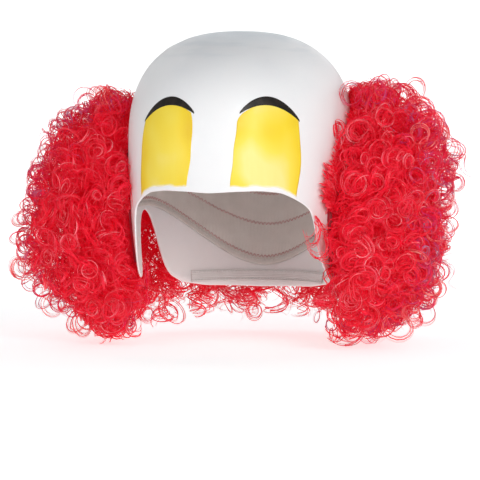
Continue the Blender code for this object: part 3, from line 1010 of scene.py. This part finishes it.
def grow_loops(name, count, place, finish):
    """Open loops that stand out at the fringe, each a thin bundle of strands."""
    piece = HairPiece()
    points = 31
    share = np.linspace(0, 1, points)[None]
    lead = 0.18
    bend = np.clip((share - lead) / (1 - lead), 0, 1)
    for _ in range(count):
        start, away, radius, pale = place()
        reach_back = 2.2 * radius
        level = np.cross(away, np.array([0, 0, 1.0]))
        if np.linalg.norm(level) < 0.5:
            level = np.array([0.5 * gauss(), 1.0, 0])
        axis = unit(level) + 0.42 * gauss(size=3)
        axis = unit(axis - away * (axis @ away))
        centre_way = np.cross(axis, away) * random.choice((-1, 1))
        strands = int(random.integers(3, 7))
        own = radius * (1 + 0.055 * gauss(size=(strands, 1)))
        size = own * (1 - 0.3 * bend)
        turn = TAU * (uniform(0.85, 1.8) + 0.03 * gauss(size=(strands, 1))) * bend
        slip = 0.22 * MM * gauss(size=(strands, 1, 3)) * (0.4 + share[..., None])
        drift = (mm_from(1.0, 4.0) + 0.3 * MM * gauss(size=(strands, 1)))
        stretch = uniform(0.85, 1.25)
        behind = -reach_back * np.clip(1 - share / lead, 0, 1)
        path = (start + behind[..., None] * away
                + (size * np.sin(turn) * stretch)[..., None] * away
                + (own - size * np.cos(turn))[..., None] * centre_way * (bend > 0)[..., None]
                + (drift * bend)[..., None] * axis + slip)
        # Pale tints: partly pale fibres, partly painted highlights
        if random.random() < pale:
            tints = FIRST_PALE_TINT + random.integers(0, 2, strands)
        else:
            tints = FIRST_FRINGE_TINT + np.where(
                random.random(strands) < 0.7, random.choice(4, p=FRINGE_SHARES),
                random.choice(4, strands, p=FRINGE_SHARES))
        piece.add(path, mm_from(0.13, 0.18), tints=tints)
    return piece.build(name, finish)


def side_loop(side):
    """Start, direction, radius and chance of paleness of a loop on a side mass."""
    kind = random.random()
    if kind < 0.11:
        start = side_tip(side, math.radians(uniform(30, 105)), SIDE_TOP[side],
                         uniform(0.25, 0.62) + 0.18 * max(side, 0))
        start[2] += mm_from(4, 19)
        away = unit(np.array([0.25 * side, 0.2 * gauss(), 1.0]))
        return start, away, mm_from(5.5, 9.0), 0.4
    if kind < 0.23:
        start = side_tip(side, math.radians(uniform(60, 112)),
                         mm_from(-92, -62), uniform(0.94, 1.12), 0)
        away = unit(np.array([side, 0.25 * gauss(), uniform(-0.9, -0.2)]))
        return start, away, mm_from(5.0, 9.5), 0.6
    if kind < 0.40:
        start = side_tip(side, math.radians(uniform(15, 118)),
                         mm_from(-97, -90), uniform(0.35, 1.0))
        away = unit(np.array([0.35 * side, 0.35 * gauss(), -1.0]))
        return start, away, mm_from(3.6, 6.0), 0.15
    turn = math.radians(uniform(52, 118))
    height = uniform(-96 * MM, SIDE_TOP[side])
    start = side_tip(side, turn, height, uniform(0.90, 1.01), 2 * MM)
    away = unit(np.array([side * math.sin(turn), -math.cos(turn), 0])
                + np.array([0, 0, 0.9 * (height + 10 * MM) / (90 * MM)])
                + 0.3 * gauss(size=3))
    return start, away, mm_from(4.0, 7.8), 0.07


def back_tip(turn, height, depth):
    """Point in the back mass: depth 0 on the head and 1 on the outer face."""
    rim = back_envelope(turn, height)
    middle = head_surface(180 - math.degrees(turn) * 0.66, height)
    return middle + (rim - middle) * depth


def back_loop():
    """Start, direction, radius and chance of paleness of a loop on the back mass."""
    turn = uniform(-1.45, 1.45)
    height = mm_from(-96, 42)
    start = back_tip(turn, height, uniform(0.88, 0.98))
    away = unit(np.array([math.sin(turn), math.cos(turn), 0])
                + np.array([0, 0, 0.9 * (height + 25 * MM) / (70 * MM)])
                + 0.3 * gauss(size=3))
    return start, away, mm_from(3.4, 6.4), 0.1


def grow_back(finish):
    """Hair of the back mass, in thirds of each row from the wearer's right to the left."""
    pieces = {}
    for number in range(BACK_LOCKS):
        turn = uniform(-1.5, 1.5)
        height = uniform(*BACK_SPAN)
        if number % 4 == 0:
            turn = math.copysign(uniform(1.2, 1.56), turn)
            height = BACK_SPAN[0] + (BACK_SPAN[1] - BACK_SPAN[0]) * random.beta(0.7, 1.4)
        elif number % 4 == 2:
            turn *= 0.4
        depth = 1.02 - 0.6 * random.random() ** 1.8
        if number % 4 == 1:
            height = mm_from(-98, -76)
            turn = uniform(-1.35, 1.35)
            depth = uniform(0.15, 1.0)
        row, root, out = back_root(turn, height)
        edge = 0.36 * max(0.0, depth - 0.78) / 0.22
        third = int(np.clip(turn + 1.5, 0, 2.999))
        piece = pieces.setdefault((row, third), HairPiece())
        grow_lock(piece, root, out, back_tip(turn, height, depth * 0.97), 14, edge,
                  number % 10 < 3)
    made = [(row, piece.build(f"curls_back_{row + 1}_{'abc'[third]}", finish))
            for (row, third), piece in sorted(pieces.items())]
    for third in range(3):
        made.append((None, grow_undercoat(third).build(f"frizz_back_{'abc'[third]}", finish)))
    return made


def grow_undercoat(third):
    """Short hair along a third of every track round the back, which hides the tracks."""
    piece = HairPiece()
    for number in range(BACK_TUFTS):
        row = number % 5
        angle = 112 + (third + random.random()) * 136 / 3
        height = track_height(row, angle) + mm_from(-2.5, 2.5)
        root, out = rooted(angle, height)
        away = out + gauss(size=3) * 0.5
        if number % 2:
            away = 0.45 * out + 0.35 * gauss(size=3)
            away[2] += random.choice((-0.9, 0.9))
        if row == 0:
            away[2] = uniform(-0.9, 0.15)
        tip = root + unit(away) * mm_from(14, 34)
        grow_lock(piece, root, out, tip, 9, 0.0, True)
    return piece


def dress(part, grown, others, start, end, rows):
    """Fix each piece's placing into its mesh, and replace the CAD's bundle of each row."""
    for row, piece in grown + [(None, other) for other in others]:
        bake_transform(piece)
        if row is not None:
            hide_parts(f"hair_{part}_{min(row + 1, rows)}")


def main():
    latex, yellow, black = latex_material(), yellow_material(), black_material()
    webbing = woven_material("weft_webbing", (0.50, 0.012, 0.035), (0.25, 0.004, 0.015), 5200)
    cotton = woven_material("cotton_lining", (0.80, 0.77, 0.72), (0.55, 0.52, 0.47), 4200)
    elastic = woven_material("nape_elastic", (0.86, 0.85, 0.83), (0.6, 0.59, 0.57), 2600, 0.8)
    hair = hair_material()

    on_cap = [(build_cap(latex), "white_latex", "cap_shell")]
    for side, part in SIDE_NAMES.items():
        panel, brow = build_paint(side, yellow, black)
        on_cap += [(panel, "yellow_paint", f"eye_panel_{part}"),
                   (brow, "black_paint", f"brow_arc_{part}")]
    lining, tape = build_lining(cotton), build_elastic(elastic)
    seams, hem_seams, tape_seams = build_stitches(
        thread_material("red_thread", (0.62, 0.010, 0.030)),
        thread_material("white_thread", (0.86, 0.85, 0.82)))
    on_cap += [(lining, "cotton_lining", "lining_band"), (tape, "nape_elastic", "nape_elastic"),
               (seams, "cotton_lining", None), (hem_seams, "cotton_lining", None),
               (tape_seams, "nape_elastic", None)]
    for piece, slot, replaced in on_cap:
        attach(piece, "cap")
        if replaced:
            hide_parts(replaced)
    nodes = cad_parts
    for name in nodes:
        if name.startswith(("weft_track", "edge_track")):
            nodes[name].data.materials.clear()
            nodes[name].data.materials.append(webbing)

    for side, part in SIDE_NAMES.items():
        grown = grow_side(side, hair)
        others = [grow_hairline(side, hair), grow_front(side, hair)]
        others += [grow_rosettes(f"rosettes_{part}_{half}", SIDE_ROSETTES,
                                 lambda: side_rosette(side), hair) for half in "ab"]
        others.append(grow_loops(f"loops_{part}", SIDE_LOOPS, lambda: side_loop(side), hair))
        dress(part, grown, others, *((side * out, 0, 0) for out in SIDE_BEND), 5)
    grown = grow_back(hair)
    others = [grow_rosettes("rosettes_back", BACK_ROSETTES, back_rosette, hair),
              grow_loops("loops_back", BACK_LOOPS, back_loop, hair)]
    dress("back", grown, others, *((0, out, 0) for out in BACK_BEND), 4)
    stage_and_camera()


def stage_and_camera():
    """Pale sweep under and behind the wig, soft lights and the camera."""
    floor_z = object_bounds()[0].z
    turns = np.linspace(0, math.pi / 2, 13)[1:]
    profile = [(-3.4, 0.0), (2.6, 0.0),
               *((2.6 + math.sin(turn), 1.0 - math.cos(turn)) for turn in turns), (3.6, 4.5)]
    points = [(x, y, z + floor_z) for y, z in profile for x in (-4.0, 4.0)]
    pale, tree, inputs = new_material("pale_sweep", 0.9, 0.1)
    feed(tree, inputs, {"Base Color": (0.80, 0.80, 0.80), "Emission Color": (1, 1, 1),
                        "Emission Strength": 0.60})
    mesh_object("sweep", points, grid_faces(len(profile), 2), pale)

    for name, place, aim, size, power in (
            ("key", (1.15, -1.60, 0.66), (0, 0, 0), 1.0, 19),
            ("fill", (-1.2, -1.5, 0.05), (0, 0, -0.02), 1.2, 8),
            ("backdrop_left", (-1.6, 1.4, 1.6), (0, 3.4, 0.3), 1.0, 15),
            ("backdrop_right", (1.6, 1.4, 1.6), (0, 3.4, 0.3), 1.0, 15)):
        light = bpy.data.lights.new(name, "AREA")
        light.size, light.energy = size, power
        made = scene_object(name, light)
        made.location = place
        made.rotation_euler = facing(Vector(aim) - Vector(place))

    # White to the camera, and to the wig a grey sky that is darker overhead
    world = bpy.data.worlds.new("studio")
    bpy.context.scene.world = world
    world.use_nodes = True
    tree = world.node_tree
    rise = split(tree, node(tree, "TexCoord", {})["Generated"])["Z"]
    sky = ramp(tree, rise, ((0.05, (0.35, 0.35, 0.35)), (0.50, (0.39, 0.392, 0.395)),
                            (0.80, (0.11, 0.135, 0.16)), (1.00, (0.05, 0.07, 0.09))))
    seen = node(tree, "LightPath", {})["Is Camera Ray"]
    feed(tree, tree.nodes["Background"].inputs,
         {"Color": mix(tree, seen, sky, (0.95, 0.95, 0.95))})

    distance, width = 1.9, 0.341
    azimuth, elevation = math.radians(13), math.radians(3)
    camera = bpy.data.cameras.new("camera")
    camera.sensor_width = 36
    camera.lens = 36 * distance / width
    camera.clip_start = 0.05
    sight = Vector((math.sin(azimuth) * math.cos(elevation),
                    -math.cos(azimuth) * math.cos(elevation), math.sin(elevation)))
    made = scene_object("camera", camera)
    made.location = Vector((-0.0014, 0, -0.037)) + sight * distance
    made.rotation_euler = facing(-sight)
    bpy.context.scene.camera = made
    bpy.context.scene.view_settings.view_transform = "Standard"


main()
